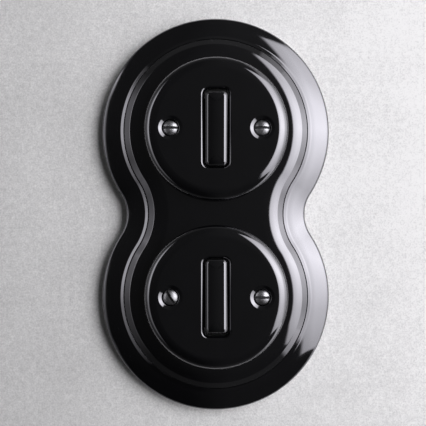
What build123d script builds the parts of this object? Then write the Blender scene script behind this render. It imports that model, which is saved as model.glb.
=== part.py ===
from build123d import *

import math
import os

# A two-gang wall switch of glazed porcelain. X runs right, Z up and -Y out of the wall into the room.
# The wall is the plane Y = 0. Heights are measured out of the wall, and depths are negative heights.
# Sizes are in millimetres and angles in degrees.

# Surround frame: two round lobes joined at a waist, with a stepped moulding round the edge
gang_spacing = 71.0
lobe_diameter = 98.2
waist_radius = 16.0
rim_height = 5.055
rim_round = 2.5
band_slope = 15.9
band_width = 9.2
cove_radius = 4.0
riser_slope = 37.0
riser_width = 2.95
ovolo_slope = 17.6
ovolo_width = 3.6
plateau_margin = 1.0
frame_flat_angle = 38.0
frame_bore = 54.0
hollow_ledge = 0.1
hollow_roof = 4.5

# Covers
cover_diameter = 60.8
cover_height = 6.9
cover_shoulder = 5.5
cover_flat_angle = 18.0
cover_roof = 3.5
cover_well_width = 17.4
cover_well_margin = 1.4
slot_lip = 1.4
slot_corner = 2.2
slot_gap = 0.55
slot_end_gap = 0.3

# Cover screws, each with the angle at which its slot stands
screw_spacing = 38.5
screw_head_diameter = 6.3
screw_head_height = 2.5
screw_shank_diameter = 3.4
screw_tail = 1.6
screw_slot_width = 0.8
screw_slot_depth = 1.1
screw_slot_angles = {"upper": (0.0, 0.0), "lower": (-58.0, 0.0)}
recess_gap = 0.35
recess_depth = 2.2
dish_width = 1.7
dish_depth = 0.6
shank_gap = 0.3
thread_gap = 0.05

# Rockers: the upper one has its lower end pressed in, and the lower one its upper end
rocker_width = 9.3
rocker_length = 31.0
rocker_stand = 2.1
rocker_crown_radius = 12.0
rocker_edge_round = 1.0
rocker_end_chamfer = 0.8
rocker_tilt = 3.5
pivot_height = 9.0
key_seat_height = 3.4

# Rocker carrier, pin and drive spring
carrier_width = 11.0
carrier_length = 26.0
carrier_flange = 2.0
carrier_neck = 8.0
carrier_shoulder_drop = 7.4
carrier_drop = 7.0
pin_diameter = 3.0
pin_overhang = 0.8
pin_running_gap = 0.08
pin_fit_gap = 0.02
spring_thickness = 0.5
spring_width = 5.0
spring_half_width = 2.0
spring_nose_bend = 1.2
spring_seat_depth = 2.6
spring_gap = 0.05
spring_nose_gap = 0.3

# Support plates
plate_thickness = 1.2
plate_corner = 14.3
plate_gap = 0.35
box_screw_spacing = 60.0
box_slot_width = 4.0
box_slot_length = 7.0
ear_gap = 0.5
ear_width = 9.0
ear_top = 3.2
ear_chamfer = 2.4
window_length = 11.0
lug_width = 14.0
lug_length = 8.0
lug_hook = 1.5
lug_gap = 0.1

# Switch bases
base_width = 33.0
base_length = 44.0
base_depth = 22.0
base_chamfer = 3.0
well_width = 19.0
well_length = 32.0
well_depth = 15.0
pocket_depth = 3.0
pocket_width = 9.0
seat_gap = 0.1

# Contacts and terminals
seesaw_length = 24.0
seesaw_width = 8.0
seesaw_thickness = 0.9
seesaw_height = -5.6
seesaw_ratio = 1.8
knife_drop = 2.5
knife_half_angle = 30.0
notch_half_angle = 50.0
notch_depth = 1.2
knife_gap = 0.15
blade_thickness = 0.8
blade_width = 9.0
strip_thickness = 1.0
strip_width = 7.0
contact_length = 3.0
contact_width = 4.0
contact_thickness = 0.8
contact_inset = 1.5
contact_gap = 0.15
throw_leg_inset = 1.5
common_leg_gap = 0.5
foot_length = 6.5
terminal_screw_diameter = 2.6
terminal_screw_length = 4.5

# Places worked out from the sizes above
gang_offset = gang_spacing / 2
gang_centres = {"upper": gang_offset, "lower": -gang_offset}
gang_leans = {"upper": 1, "lower": -1}
lobe_radius = lobe_diameter / 2
waist_centre = math.sqrt((lobe_radius + waist_radius) ** 2 - gang_offset**2)
waist_angle = math.degrees(math.atan2(gang_offset, waist_centre))

foot_height = rim_height + band_width * math.tan(math.radians(band_slope))
riser_top_inset = band_width + riser_width
riser_top_height = foot_height + riser_width * math.tan(math.radians(riser_slope))
plateau_inset = riser_top_inset + ovolo_width
plateau_height = riser_top_height + ovolo_width * math.tan(math.radians(ovolo_slope))
core_inset = plateau_inset + plateau_margin
hollow_inset = riser_top_inset + hollow_ledge
hollow_height = plateau_height - hollow_roof

cover_top = plateau_height + cover_height
cover_ceiling = cover_top - cover_roof
rocker_top = cover_top + rocker_stand - pivot_height
swing = math.radians(rocker_tilt)
slot_width = rocker_width + 2 * slot_gap
slot_reach = rocker_length / 2 * math.cos(swing) + (cover_top - pivot_height) * math.sin(swing)
slot_length = 2 * (slot_reach + slot_end_gap)
screw_seat = cover_top - recess_depth
recess_radius = screw_head_diameter / 2 + recess_gap
dish_taper = math.degrees(math.atan2(dish_width, dish_depth))
screw_places = [(-screw_spacing / 2, 0), (screw_spacing / 2, 0)]

ear_inner = carrier_width / 2 + ear_gap
ear_outer = ear_inner + plate_thickness
plate_half_length = base_length / 2 + lug_gap + plate_thickness
plate_reach = lobe_radius - hollow_inset - plate_gap
plate_width = 2 * math.sqrt(plate_reach**2 - (plate_half_length - plate_corner) ** 2)
spring_tip = seesaw_height + spring_nose_gap - pivot_height

seesaw_tilt = rocker_tilt * seesaw_ratio
knife_height = seesaw_height - seesaw_thickness - knife_drop
blade_inner = seesaw_width / 2 - blade_thickness
well_floor = -well_depth
foot_back = pocket_depth - base_depth
tip_reach = seesaw_length / 2
tip_drop = math.sin(math.radians(seesaw_tilt)) * tip_reach
pad_rise = (knife_drop - contact_thickness) * math.cos(math.radians(seesaw_tilt))
fixed_contact_height = knife_height + pad_rise - tip_drop - contact_gap
contact_centre = tip_reach - contact_inset
throw_leg = well_length / 2 - throw_leg_inset
common_leg = well_width / 2 - common_leg_gap
throw_screw = throw_leg + foot_length / 2
common_screw = common_leg + foot_length / 2


def front_plane(height, centre=0.0):
    """A plane parallel to the wall that faces the room, with local x right and local y up."""
    return Plane(origin=(0, -height, centre), x_dir=(1, 0, 0), z_dir=(0, -1, 0))


def side_plane(height, centre, tilt=0.0):
    """A plane across X, with local x up and local y out into the room, both turned by the tilt."""
    turn = math.radians(tilt)
    up = (0, -math.sin(turn), math.cos(turn))
    return Plane(origin=(0, -height, centre), x_dir=up, z_dir=(1, 0, 0))


def cross_plane(centre):
    """A plane across Z, with local x right and local y out into the room."""
    return Plane(origin=(0, 0, centre), x_dir=(1, 0, 0), z_dir=(0, 0, -1))


def section_plane(pole, angle, radius, inward):
    """A plane through an axis at the pole, at a point of its circle, with local x running into the frame."""
    turn = math.radians(angle)
    spoke = Vector(math.cos(turn), 0, math.sin(turn))
    across = spoke * inward
    return Plane(origin=Vector(*pole) + spoke * radius, x_dir=across, z_dir=across.cross(Vector(0, -1, 0)))


def outline(inset):
    """Draw the frame's figure-eight outline, moved in from its outer edge."""
    lobe_arc = 180 + 2 * waist_angle
    CenterArc((0, gang_offset), lobe_radius - inset, -waist_angle, lobe_arc)
    CenterArc((-waist_centre, 0), waist_radius + inset, -waist_angle, 2 * waist_angle)
    CenterArc((0, -gang_offset), lobe_radius - inset, 180 - waist_angle, lobe_arc)
    CenterArc((waist_centre, 0), waist_radius + inset, 180 - waist_angle, 2 * waist_angle)


def eased(corners, flat_angle):
    """The points of a section drawn from corners (x, y, radius), with each rounding cut into short flats."""
    points = []
    for index, (x, y, radius) in enumerate(corners):
        corner = Vector(x, y)
        back = (Vector(*corners[index - 1][:2]) - corner).normalized()
        ahead = (Vector(*corners[(index + 1) % len(corners)][:2]) - corner).normalized()
        if radius == 0:
            points.append(corner)
            continue
        turn = 180 - back.get_angle(ahead)
        half_turn = math.radians(turn / 2)
        pole = corner + (back + ahead).normalized() * (radius / math.cos(half_turn))
        spoke = corner + back * (radius * math.tan(half_turn)) - pole
        side = math.copysign(1, ahead.cross(back).Z)
        flats = max(1, round(turn / flat_angle))
        for step in range(flats + 1):
            points.append(pole + spoke.rotate(Axis.Z, side * turn * step / flats))
    return points


def moulding():
    """Draw the moulding's section: rim, sloped band, cove, riser and a last slope up to the plateau."""
    corners = [
        (0, 0, 0),
        (0, rim_height, rim_round),
        (band_width, foot_height, cove_radius),
        (riser_top_inset, riser_top_height, 0),
        (plateau_inset, plateau_height, 0),
        (core_inset, plateau_height, 0),
        (core_inset, 0, 0),
    ]
    Polyline(*eased(corners, frame_flat_angle), close=True)


def build_surround_frame():
    """The porcelain frame: the moulding turned round each lobe and each side of the waist, hollow at the back."""
    outward = (0, -1, 0)
    turns = [
        ((0, 0, gang_offset), -waist_angle, lobe_radius, -1, 180 + 2 * waist_angle),
        ((0, 0, -gang_offset), 180 - waist_angle, lobe_radius, -1, 180 + 2 * waist_angle),
        ((waist_centre, 0, 0), 180 - waist_angle, waist_radius, 1, 2 * waist_angle),
        ((-waist_centre, 0, 0), -waist_angle, waist_radius, 1, 2 * waist_angle),
    ]
    with BuildPart() as surround_frame:
        with BuildSketch(front_plane(0)):
            with BuildLine():
                outline(core_inset)
            make_face()
        extrude(amount=plateau_height)
        for pole, start, radius, inward, arc in turns:
            with BuildSketch(section_plane(pole, start, radius, inward)):
                with BuildLine():
                    moulding()
                make_face()
            revolve(axis=Axis(pole, outward), revolution_arc=arc)
        with BuildSketch(front_plane(0)):
            with BuildLine():
                outline(hollow_inset)
            make_face()
        extrude(amount=hollow_height, mode=Mode.SUBTRACT)
        with BuildSketch(front_plane(0)):
            with Locations(*[(0, centre) for centre in gang_centres.values()]):
                Circle(frame_bore / 2)
        extrude(amount=plateau_height, mode=Mode.SUBTRACT)
    return surround_frame.part


def build_cover(centre):
    """A round porcelain cap that clamps the frame to the wall, with the rocker's slot and two screw recesses."""
    corners = [
        (0, plateau_height, 0),
        (cover_diameter / 2, plateau_height, 0),
        (cover_diameter / 2, cover_top, cover_shoulder),
        (0, cover_top, 0),
    ]
    with BuildPart() as cover:
        with BuildSketch(cross_plane(centre)):
            with BuildLine():
                Polyline(*eased(corners, cover_flat_angle), close=True)
            make_face()
        revolve(axis=Axis((0, 0, centre), (0, -1, 0)))
        with BuildSketch(front_plane(plateau_height, centre)):
            Rectangle(cover_well_width, slot_length + 2 * cover_well_margin)
        extrude(amount=cover_ceiling - plateau_height, mode=Mode.SUBTRACT)
        with BuildSketch(front_plane(cover_top, centre)):
            RectangleRounded(slot_width, slot_length, slot_corner)
        extrude(amount=-cover_roof, mode=Mode.SUBTRACT)
        chamfer(cover.faces().sort_by(Axis.Y)[0].inner_wires().edges(), slot_lip)
        with BuildSketch(front_plane(cover_top, centre)):
            with Locations(*screw_places):
                Circle(recess_radius)
        extrude(amount=-recess_depth, mode=Mode.SUBTRACT)
        with BuildSketch(front_plane(cover_top, centre)):
            with Locations(*screw_places):
                Circle(recess_radius + dish_width)
        extrude(amount=-dish_depth, taper=dish_taper, mode=Mode.SUBTRACT)
        with BuildSketch(front_plane(screw_seat, centre)):
            with Locations(*screw_places):
                Circle(screw_shank_diameter / 2 + shank_gap)
        extrude(amount=plateau_height - screw_seat, mode=Mode.SUBTRACT)
    return cover.part


def build_cover_screws():
    """The slotted screws that draw each cover against its support plate."""
    with BuildPart() as cover_screws:
        for gang, centre in gang_centres.items():
            with BuildSketch(front_plane(screw_seat, centre)):
                with Locations(*screw_places):
                    Circle(screw_head_diameter / 2)
            extrude(amount=screw_head_height)
            with BuildSketch(front_plane(screw_seat, centre)):
                with Locations(*screw_places):
                    Circle(screw_shank_diameter / 2)
            extrude(amount=-(screw_seat + screw_tail))
            with BuildSketch(front_plane(screw_seat + screw_head_height, centre)):
                for place, angle in zip(screw_places, screw_slot_angles[gang]):
                    with Locations(place):
                        Rectangle(screw_head_diameter, screw_slot_width, rotation=angle)
            extrude(amount=-screw_slot_depth, mode=Mode.SUBTRACT)
    return cover_screws.part


def build_rocker(centre, lean):
    """The porcelain key, crowned across its width and rounded along its edges."""
    half_width = rocker_width / 2
    crown_drop = rocker_crown_radius - math.sqrt(rocker_crown_radius**2 - half_width**2)
    side = side_plane(pivot_height, centre, lean * rocker_tilt)
    with BuildPart() as rocker:
        with BuildSketch(Plane(origin=side.origin, x_dir=(1, 0, 0), z_dir=-side.x_dir)) as section:
            with BuildLine():
                ThreePointArc(
                    (-half_width, rocker_top - crown_drop),
                    (0, rocker_top),
                    (half_width, rocker_top - crown_drop),
                )
                Polyline(
                    (half_width, rocker_top - crown_drop),
                    (half_width, key_seat_height),
                    (-half_width, key_seat_height),
                    (-half_width, rocker_top - crown_drop),
                )
            make_face()
            fillet(section.vertices().group_by(Axis.Y)[-1], rocker_edge_round)
        extrude(amount=rocker_length / 2, both=True)
        ends = rocker.faces().filter_by(GeomType.PLANE).filter_by(Plane(side.origin, z_dir=side.x_dir))
        seat = rocker.faces().sort_by(Axis.Y)[-1]
        rims = [edge for edge in ends.edges() if edge not in seat.edges()]
        chamfer(rims, rocker_end_chamfer)
    return rocker.part


def build_rocker_carrier(centre, lean):
    """The moulded carrier cemented under the key: it turns on the pin and holds the drive spring."""
    side = side_plane(pivot_height, centre, lean * rocker_tilt)
    half_length = carrier_length / 2
    half_neck = carrier_neck / 2
    flange_under = key_seat_height - carrier_flange
    shoulder = key_seat_height - carrier_shoulder_drop
    leg_place = spring_half_width - spring_thickness / 2
    with BuildPart() as rocker_carrier:
        with BuildSketch(side):
            with BuildLine():
                Polyline(
                    (-half_length, key_seat_height),
                    (half_length, key_seat_height),
                    (half_length, flange_under),
                    (half_neck, shoulder),
                    (half_neck, -carrier_drop),
                    (-half_neck, -carrier_drop),
                    (-half_neck, shoulder),
                    (-half_length, flange_under),
                    close=True,
                )
            make_face()
            Circle(pin_diameter / 2 + pin_running_gap, mode=Mode.SUBTRACT)
        extrude(amount=carrier_width / 2, both=True)
        with BuildSketch(side):
            with Locations((-leg_place, -carrier_drop), (leg_place, -carrier_drop)):
                Rectangle(spring_thickness + 2 * spring_gap, 2 * (spring_seat_depth + spring_gap))
        extrude(amount=spring_width / 2 + spring_gap, both=True, mode=Mode.SUBTRACT)
    return rocker_carrier.part


def build_rocker_pin(centre):
    """The steel pin riveted between the ears of the support plate."""
    with BuildPart() as rocker_pin:
        with BuildSketch(side_plane(pivot_height, centre)):
            Circle(pin_diameter / 2)
        extrude(amount=ear_outer + pin_overhang, both=True)
    return rocker_pin.part


def build_drive_spring(centre, lean):
    """The bent leaf in the carrier whose narrow nose pushes the seesaw from side to side."""
    length = spring_seat_depth - carrier_drop - spring_tip
    inner_width = 2 * (spring_half_width - spring_thickness)
    low_middle = (Align.CENTER, Align.MIN)
    with BuildPart() as drive_spring:
        with BuildSketch(side_plane(pivot_height, centre, lean * rocker_tilt)) as leaf:
            with Locations((0, spring_tip)):
                Rectangle(2 * spring_half_width, length, align=low_middle)
            chamfer(leaf.vertices().group_by(Axis.Y)[0], spring_nose_bend)
            with BuildSketch(mode=Mode.SUBTRACT) as hollow:
                with Locations((0, spring_tip + spring_thickness)):
                    Rectangle(inner_width, length, align=low_middle)
                chamfer(hollow.vertices().group_by(Axis.Y)[0], spring_nose_bend)
        extrude(amount=spring_width / 2, both=True)
    return drive_spring.part


def build_support_plate(centre):
    """The stamped steel plate, with ears bent out for the rocker's pin and lugs bent back round the base."""
    half_length = plate_half_length
    lug_inner = half_length - plate_thickness
    ear_height = pivot_height + ear_top - plate_thickness
    with BuildPart() as support_plate:
        with BuildSketch(front_plane(0, centre)) as blank:
            Rectangle(plate_width, 2 * half_length)
            chamfer(blank.vertices(), plate_corner)
            Rectangle(2 * ear_inner, window_length, mode=Mode.SUBTRACT)
            with Locations((-box_screw_spacing / 2, 0), (box_screw_spacing / 2, 0)):
                SlotOverall(box_slot_length, box_slot_width, mode=Mode.SUBTRACT)
            with Locations(*screw_places):
                Circle(screw_shank_diameter / 2 + thread_gap, mode=Mode.SUBTRACT)
        extrude(amount=plate_thickness)
        for inner in (ear_inner, -ear_outer):
            with BuildSketch(side_plane(plate_thickness, centre).offset(inner)) as ear:
                Rectangle(ear_width, ear_height, align=(Align.CENTER, Align.MIN))
                chamfer(ear.vertices().group_by(Axis.Y)[-1], ear_chamfer)
                with Locations((0, pivot_height - plate_thickness)):
                    Circle(pin_diameter / 2 + pin_fit_gap, mode=Mode.SUBTRACT)
            extrude(amount=plate_thickness)
        for side in (1, -1):
            with BuildSketch(side_plane(0, centre)):
                with BuildLine():
                    Polyline(
                        (side * half_length, 0),
                        (side * half_length, -lug_length),
                        (side * (lug_inner - lug_hook), -lug_length),
                        (side * (lug_inner - lug_hook), plate_thickness - lug_length),
                        (side * lug_inner, plate_thickness - lug_length),
                        (side * lug_inner, 0),
                        close=True,
                    )
                make_face()
            extrude(amount=lug_width / 2, both=True)
    return support_plate.part


def build_switch_base(centre):
    """The steatite base behind the plate, with a well for the contacts and open pockets for the terminals."""
    foot_width = strip_width + 2 * seat_gap
    leg_slot = strip_thickness + 2 * seat_gap
    throw_pocket = base_length / 2 - throw_leg + leg_slot / 2
    common_pocket = base_width / 2 - common_leg + leg_slot / 2
    shank_room = terminal_screw_diameter + 2 * shank_gap
    hook_room = lug_hook + seat_gap - lug_gap
    with BuildPart() as switch_base:
        with BuildSketch(front_plane(0, centre)) as block:
            Rectangle(base_width, base_length)
            chamfer(block.vertices(), base_chamfer)
        extrude(amount=-base_depth)
        with BuildSketch(front_plane(0, centre)):
            Rectangle(well_width, well_length)
        extrude(amount=-well_depth, mode=Mode.SUBTRACT)
        with BuildSketch(front_plane(-base_depth, centre)):
            with Locations((0, base_length / 2)):
                Rectangle(pocket_width, throw_pocket, align=(Align.CENTER, Align.MAX))
            with Locations((0, -base_length / 2)):
                Rectangle(pocket_width, throw_pocket, align=(Align.CENTER, Align.MIN))
            with Locations((base_width / 2, 0)):
                Rectangle(common_pocket, pocket_width, align=(Align.MAX, Align.CENTER))
        extrude(amount=pocket_depth, mode=Mode.SUBTRACT)
        with BuildSketch(front_plane(foot_back, centre)):
            with Locations((0, throw_leg), (0, -throw_leg)):
                Rectangle(foot_width, leg_slot)
            with Locations((common_leg, 0)):
                Rectangle(leg_slot, foot_width)
        extrude(amount=well_floor - foot_back, mode=Mode.SUBTRACT)
        with BuildSketch(front_plane(foot_back, centre)):
            with Locations((0, throw_screw), (0, -throw_screw), (common_screw, 0)):
                Rectangle(shank_room, shank_room)
        extrude(amount=terminal_screw_length, mode=Mode.SUBTRACT)
        with BuildSketch(front_plane(-lug_length - seat_gap, centre)):
            with Locations((0, base_length / 2), (0, -base_length / 2)):
                Rectangle(lug_width + 2 * seat_gap, 2 * hook_room)
        extrude(amount=plate_thickness + 2 * seat_gap, mode=Mode.SUBTRACT)
    return switch_base.part


def build_contact_seesaw(centre, lean):
    """The rocking contact strip, with a knife tab bent down at each side of its middle."""
    pivot = side_plane(knife_height, centre, -lean * seesaw_tilt)
    tab_half = knife_drop * math.tan(math.radians(knife_half_angle))
    with BuildPart() as contact_seesaw:
        with BuildSketch(pivot):
            with Locations((0, knife_drop)):
                Rectangle(seesaw_length, seesaw_thickness, align=(Align.CENTER, Align.MIN))
        extrude(amount=seesaw_width / 2, both=True)
        for inner in (blade_inner, -seesaw_width / 2):
            with BuildSketch(pivot.offset(inner)):
                with BuildLine():
                    Polyline((0, 0), (tab_half, knife_drop), (-tab_half, knife_drop), close=True)
                make_face()
            extrude(amount=blade_thickness)
    return contact_seesaw.part


def build_moving_contacts(centre, lean):
    """The silver pads under the two ends of the seesaw."""
    with BuildPart() as moving_contacts:
        with BuildSketch(side_plane(knife_height, centre, -lean * seesaw_tilt)):
            with Locations((-contact_centre, knife_drop), (contact_centre, knife_drop)):
                Rectangle(contact_length, contact_thickness, align=(Align.CENTER, Align.MAX))
        extrude(amount=contact_width / 2, both=True)
    return moving_contacts.part


def build_common_terminal(centre):
    """The brass saddle under the seesaw, with notched blades, a leg through the base and a forked foot."""
    half_width = blade_width / 2
    blade_top = knife_height - knife_gap + notch_depth
    notch_half = notch_depth * math.tan(math.radians(notch_half_angle))
    leg_outer = common_leg + strip_thickness / 2
    leg_inner = leg_outer - strip_thickness
    floor_top = well_floor + strip_thickness
    fork = terminal_screw_diameter + 2 * thread_gap
    with BuildPart() as common_terminal:
        with BuildSketch(cross_plane(centre)):
            with BuildLine():
                Polyline(
                    (-seesaw_width / 2, well_floor),
                    (leg_inner, well_floor),
                    (leg_inner, foot_back - strip_thickness),
                    (leg_inner + foot_length, foot_back - strip_thickness),
                    (leg_inner + foot_length, foot_back),
                    (leg_outer, foot_back),
                    (leg_outer, floor_top),
                    (-seesaw_width / 2, floor_top),
                    close=True,
                )
            make_face()
        extrude(amount=strip_width / 2, both=True)
        for inner in (blade_inner, -seesaw_width / 2):
            with BuildSketch(side_plane(0, centre).offset(inner)):
                with BuildLine():
                    Polyline(
                        (-half_width, floor_top - strip_thickness),
                        (half_width, floor_top - strip_thickness),
                        (half_width, blade_top),
                        (notch_half, blade_top),
                        (0, blade_top - notch_depth),
                        (-notch_half, blade_top),
                        (-half_width, blade_top),
                        close=True,
                    )
                make_face()
            extrude(amount=blade_thickness)
        with BuildSketch(front_plane(foot_back, centre)):
            with Locations((common_screw - fork / 2, 0)):
                Rectangle(foot_length, fork, align=(Align.MIN, Align.CENTER))
        extrude(amount=-strip_thickness, mode=Mode.SUBTRACT)
    return common_terminal.part


def build_throw_terminals(centre):
    """The two brass strips that carry the fixed contacts, each with a forked foot at the back."""
    shelf_top = fixed_contact_height - contact_thickness
    shelf_under = shelf_top - strip_thickness
    shelf_start = contact_centre - contact_length / 2
    leg_outer = throw_leg + strip_thickness / 2
    leg_inner = leg_outer - strip_thickness
    fork = terminal_screw_diameter + 2 * thread_gap
    with BuildPart() as throw_terminals:
        for side in (1, -1):
            with BuildSketch(side_plane(0, centre)):
                with BuildLine():
                    Polyline(
                        (side * shelf_start, shelf_top),
                        (side * leg_outer, shelf_top),
                        (side * leg_outer, foot_back),
                        (side * (leg_inner + foot_length), foot_back),
                        (side * (leg_inner + foot_length), foot_back - strip_thickness),
                        (side * leg_inner, foot_back - strip_thickness),
                        (side * leg_inner, shelf_under),
                        (side * shelf_start, shelf_under),
                        close=True,
                    )
                make_face()
            extrude(amount=strip_width / 2, both=True)
        with BuildSketch(front_plane(foot_back, centre)):
            with Locations((0, throw_screw - fork / 2)):
                Rectangle(fork, foot_length, align=(Align.CENTER, Align.MIN))
            with Locations((0, fork / 2 - throw_screw)):
                Rectangle(fork, foot_length, align=(Align.CENTER, Align.MAX))
        extrude(amount=-strip_thickness, mode=Mode.SUBTRACT)
    return throw_terminals.part


def build_fixed_contacts(centre):
    """The silver pads on the throw terminals that the seesaw meets."""
    with BuildPart() as fixed_contacts:
        with BuildSketch(front_plane(fixed_contact_height, centre)):
            with Locations((0, contact_centre), (0, -contact_centre)):
                Rectangle(contact_width, contact_length)
        extrude(amount=-contact_thickness)
    return fixed_contacts.part


fixed_builders = {
    "cover": build_cover,
    "support_plate": build_support_plate,
    "rocker_pin": build_rocker_pin,
    "switch_base": build_switch_base,
    "common_terminal": build_common_terminal,
    "throw_terminals": build_throw_terminals,
    "fixed_contacts": build_fixed_contacts,
}
moving_builders = {
    "rocker": build_rocker,
    "rocker_carrier": build_rocker_carrier,
    "drive_spring": build_drive_spring,
    "contact_seesaw": build_contact_seesaw,
    "moving_contacts": build_moving_contacts,
}

pieces = {"surround_frame": build_surround_frame(), "cover_screws": build_cover_screws()}
for gang, gang_centre in gang_centres.items():
    for piece_name, build_piece in fixed_builders.items():
        pieces[f"{gang}_{piece_name}"] = build_piece(gang_centre)
    for piece_name, build_piece in moving_builders.items():
        pieces[f"{gang}_{piece_name}"] = build_piece(gang_centre, gang_leans[gang])

os.makedirs("parts", exist_ok=True)
for node, piece in pieces.items():
    piece.label = node
    export_step(piece, f"parts/{node}.step")
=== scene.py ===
"""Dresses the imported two-gang porcelain wall switch, and sets up its wall, its lamps and the camera."""

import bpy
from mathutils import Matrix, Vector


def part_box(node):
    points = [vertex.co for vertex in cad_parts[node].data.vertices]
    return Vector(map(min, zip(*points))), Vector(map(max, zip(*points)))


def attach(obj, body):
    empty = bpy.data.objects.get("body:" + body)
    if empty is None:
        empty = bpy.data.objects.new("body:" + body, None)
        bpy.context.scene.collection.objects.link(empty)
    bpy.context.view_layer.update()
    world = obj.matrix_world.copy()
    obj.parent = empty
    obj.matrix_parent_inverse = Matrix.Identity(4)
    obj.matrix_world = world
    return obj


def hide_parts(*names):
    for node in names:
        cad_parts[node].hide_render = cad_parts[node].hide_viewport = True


bl_info = {
    "name": "Porcelain Two-Gang Switch",
    "version": (1, 0, 0),
    "blender": (4, 5, 0),
    "location": "View3D > Sidebar > Switch",
    "description": "Builds the glazed skins, screws and finishes of a two-gang switch and its wall",
    "category": "Object",
}

import math

import bmesh
import bpy
from bpy.props import FloatProperty, FloatVectorProperty, PointerProperty
from bpy.types import Operator, Panel, PropertyGroup
from mathutils import Matrix, Vector

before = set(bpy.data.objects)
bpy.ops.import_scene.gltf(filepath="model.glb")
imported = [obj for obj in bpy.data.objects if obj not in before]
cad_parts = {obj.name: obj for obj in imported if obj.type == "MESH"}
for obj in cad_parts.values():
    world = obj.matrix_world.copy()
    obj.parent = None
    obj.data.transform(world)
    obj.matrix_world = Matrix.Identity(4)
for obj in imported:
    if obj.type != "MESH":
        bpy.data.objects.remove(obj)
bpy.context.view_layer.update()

# The row frame has X to the right, Z up and -Y out of the wall. Heights are measured out of the wall.
OUT = Vector((0, -1, 0))
GANGS = ("upper", "lower")
ROCKER_LEANS = {"upper": 1, "lower": -1}

# Turns of the drivers' slots in degrees: the left and right screw of each cover, and a gang's terminal screws
SLOT_ANGLES = {"upper": (0.0, 0.0), "lower": (-58.0, 0.0)}
TERMINAL_ANGLES = (25.0, -40.0, 70.0)

# Glow of the two light panels by bearing and by height, in degrees as seen from the switch
KEY_BEARINGS = ((20.5, 0.0), (23.5, 0.75), (34, 1.0), (50, 1.0), (59, 0.8), (68, 0.5), (90, 0.4))
KEY_HEIGHTS = (
    (-60, 0.0),
    (-52, 0.12),
    (-40, 0.25),
    (-20.5, 0.40),
    (-8, 0.54),
    (10, 1.0),
    (18, 0.9),
    (27, 0.64),
    (42, 0.48),
    (45, 0.15),
    (62, 0.08),
    (72, 0.0),
)
SIDE_BEARINGS = ((-100, 0.05), (-77, 0.1), (-70, 0.24), (-64, 0.25), (-59, 1.0), (-52, 1.0), (-46.5, 0.0))
SIDE_HEIGHTS = ((-42, 0.0), (-30, 0.18), (-9, 0.42), (6, 1.0), (30, 1.0), (45, 0.0))

# Turns of a panel's edges, in degrees: two heights, and the turn up to the first and from the second on
KEY_SKEWS = (
    (-55, -25, 20, 0),
    (-25, -23, 22, 0),
    (-23, -10, 12, 0),
    (26, 41, 0, 1),
    (43, 45, 0, 21),
    (45, 62, 0, 20),
)
SIDE_SKEWS = ((22, 38, 0, 10), (-38, -20, 10, 0))

# How finely roundings and rings are divided
ARC_STEP = math.radians(5)
LOBE_STEP = math.radians(2)
QUARTER_COUNT = math.ceil(math.pi / 2 / ARC_STEP)
CIRCLE_COUNT = 128
SCREW_COUNT = 64
CORNER_COUNT = 12

# Where each panel stands: its place across, and the reach of its faces out of the wall and upwards
KEY_PLACE = (1.2, (-4.5, -0.02), (-2.1, 3.0))
SIDE_PLACE = (-1.0, (-1.0, -0.02), (-1.3, 1.4))
PANEL_COLOUR = (0.97, 0.955, 1.0, 1.0)
REAR_PLACE = (-0.45, 0.90, 0.60)
REAR_SIZE = 1.0

# Runs of a heading's X, Z or Y over which the dim room changes its level
ROOM_ACROSS = (-0.12, 0.12)
ROOM_UP = (-0.5, 0.3)
ROOM_EDGE = (-0.5, -0.2)
ROOM_REAR = (0.0, 0.3)

# The camera's sensor in millimetres, and the nearest that it sees
SENSOR_WIDTH = 36.0
CLIP_START = 0.01

# Noise patterns: cells to the metre, detail and roughness
GLAZE_WAVE = (55.0, 1.0, 0.5)
GLAZE_SKIN = (420.0, 2.0, 0.5)
GLAZE_CLOUD = (140.0, 3.0, 0.5)
PIT_PATCH = (90.0, 2.0, 0.5)
METAL_MARKS = (260.0, 4.0, 0.6)
METAL_STAINS = (120.0, 5.0, 0.62)

# Detail and roughness of the patterns whose scale comes from the material
LINE_DETAIL = (3.0, 0.6)
GRAIN_DETAIL = (4.0, 0.65)
CLOUD_DETAIL = (4.0, 0.6)
SPECK_DETAIL = (1.0, 0.5)

# Ramps: two values of a pattern, and the levels that they become
PIT_DEPTH = (0.0, 0.05, -0.03, 0.0)
PIT_RARITY = (0.60, 0.66, 0.0, 1.0)
GLAZE_SPREAD = (0.3, 0.7, 0.8, 1.25)
METAL_SPREAD = (0.3, 0.7, 0.75, 1.35)
STAIN_EDGE = (0.42, 0.68, 0.0, 1.0)
CLOUD_EDGE = (0.3, 0.7, 0.0, 1.0)
SPECK_EDGE = (0.68, 0.74, 0.0, 1.0)

# Cells of pinholes to the metre, shares of one pattern in another, and the stretch of a metal's lines
PIT_SCALE = 330.0
SKIN_SHARE = 0.04
MARK_SHARE = 0.5
CLOUD_SHARE = 0.12
LINE_STRETCH = (1.0, 0.3, 0.06)

# Heights of the bumps
SMOOTH_BUMP = 0.0001
GRAIN_BUMP = 0.0002

# Shades of a base colour where its clouds are thin and thick; the painted shade inside a driver's slot; and
# the painted shade, near black, of a mineral face seen in a reflection
GLAZE_SHADES = (0.7, 1.5)
MINERAL_SHADES = (0.86, 1.06)
SLOT_PAINTED_SHADE = 0.2
MIRRORED_PAINTED_SHADE = 0.05

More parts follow.
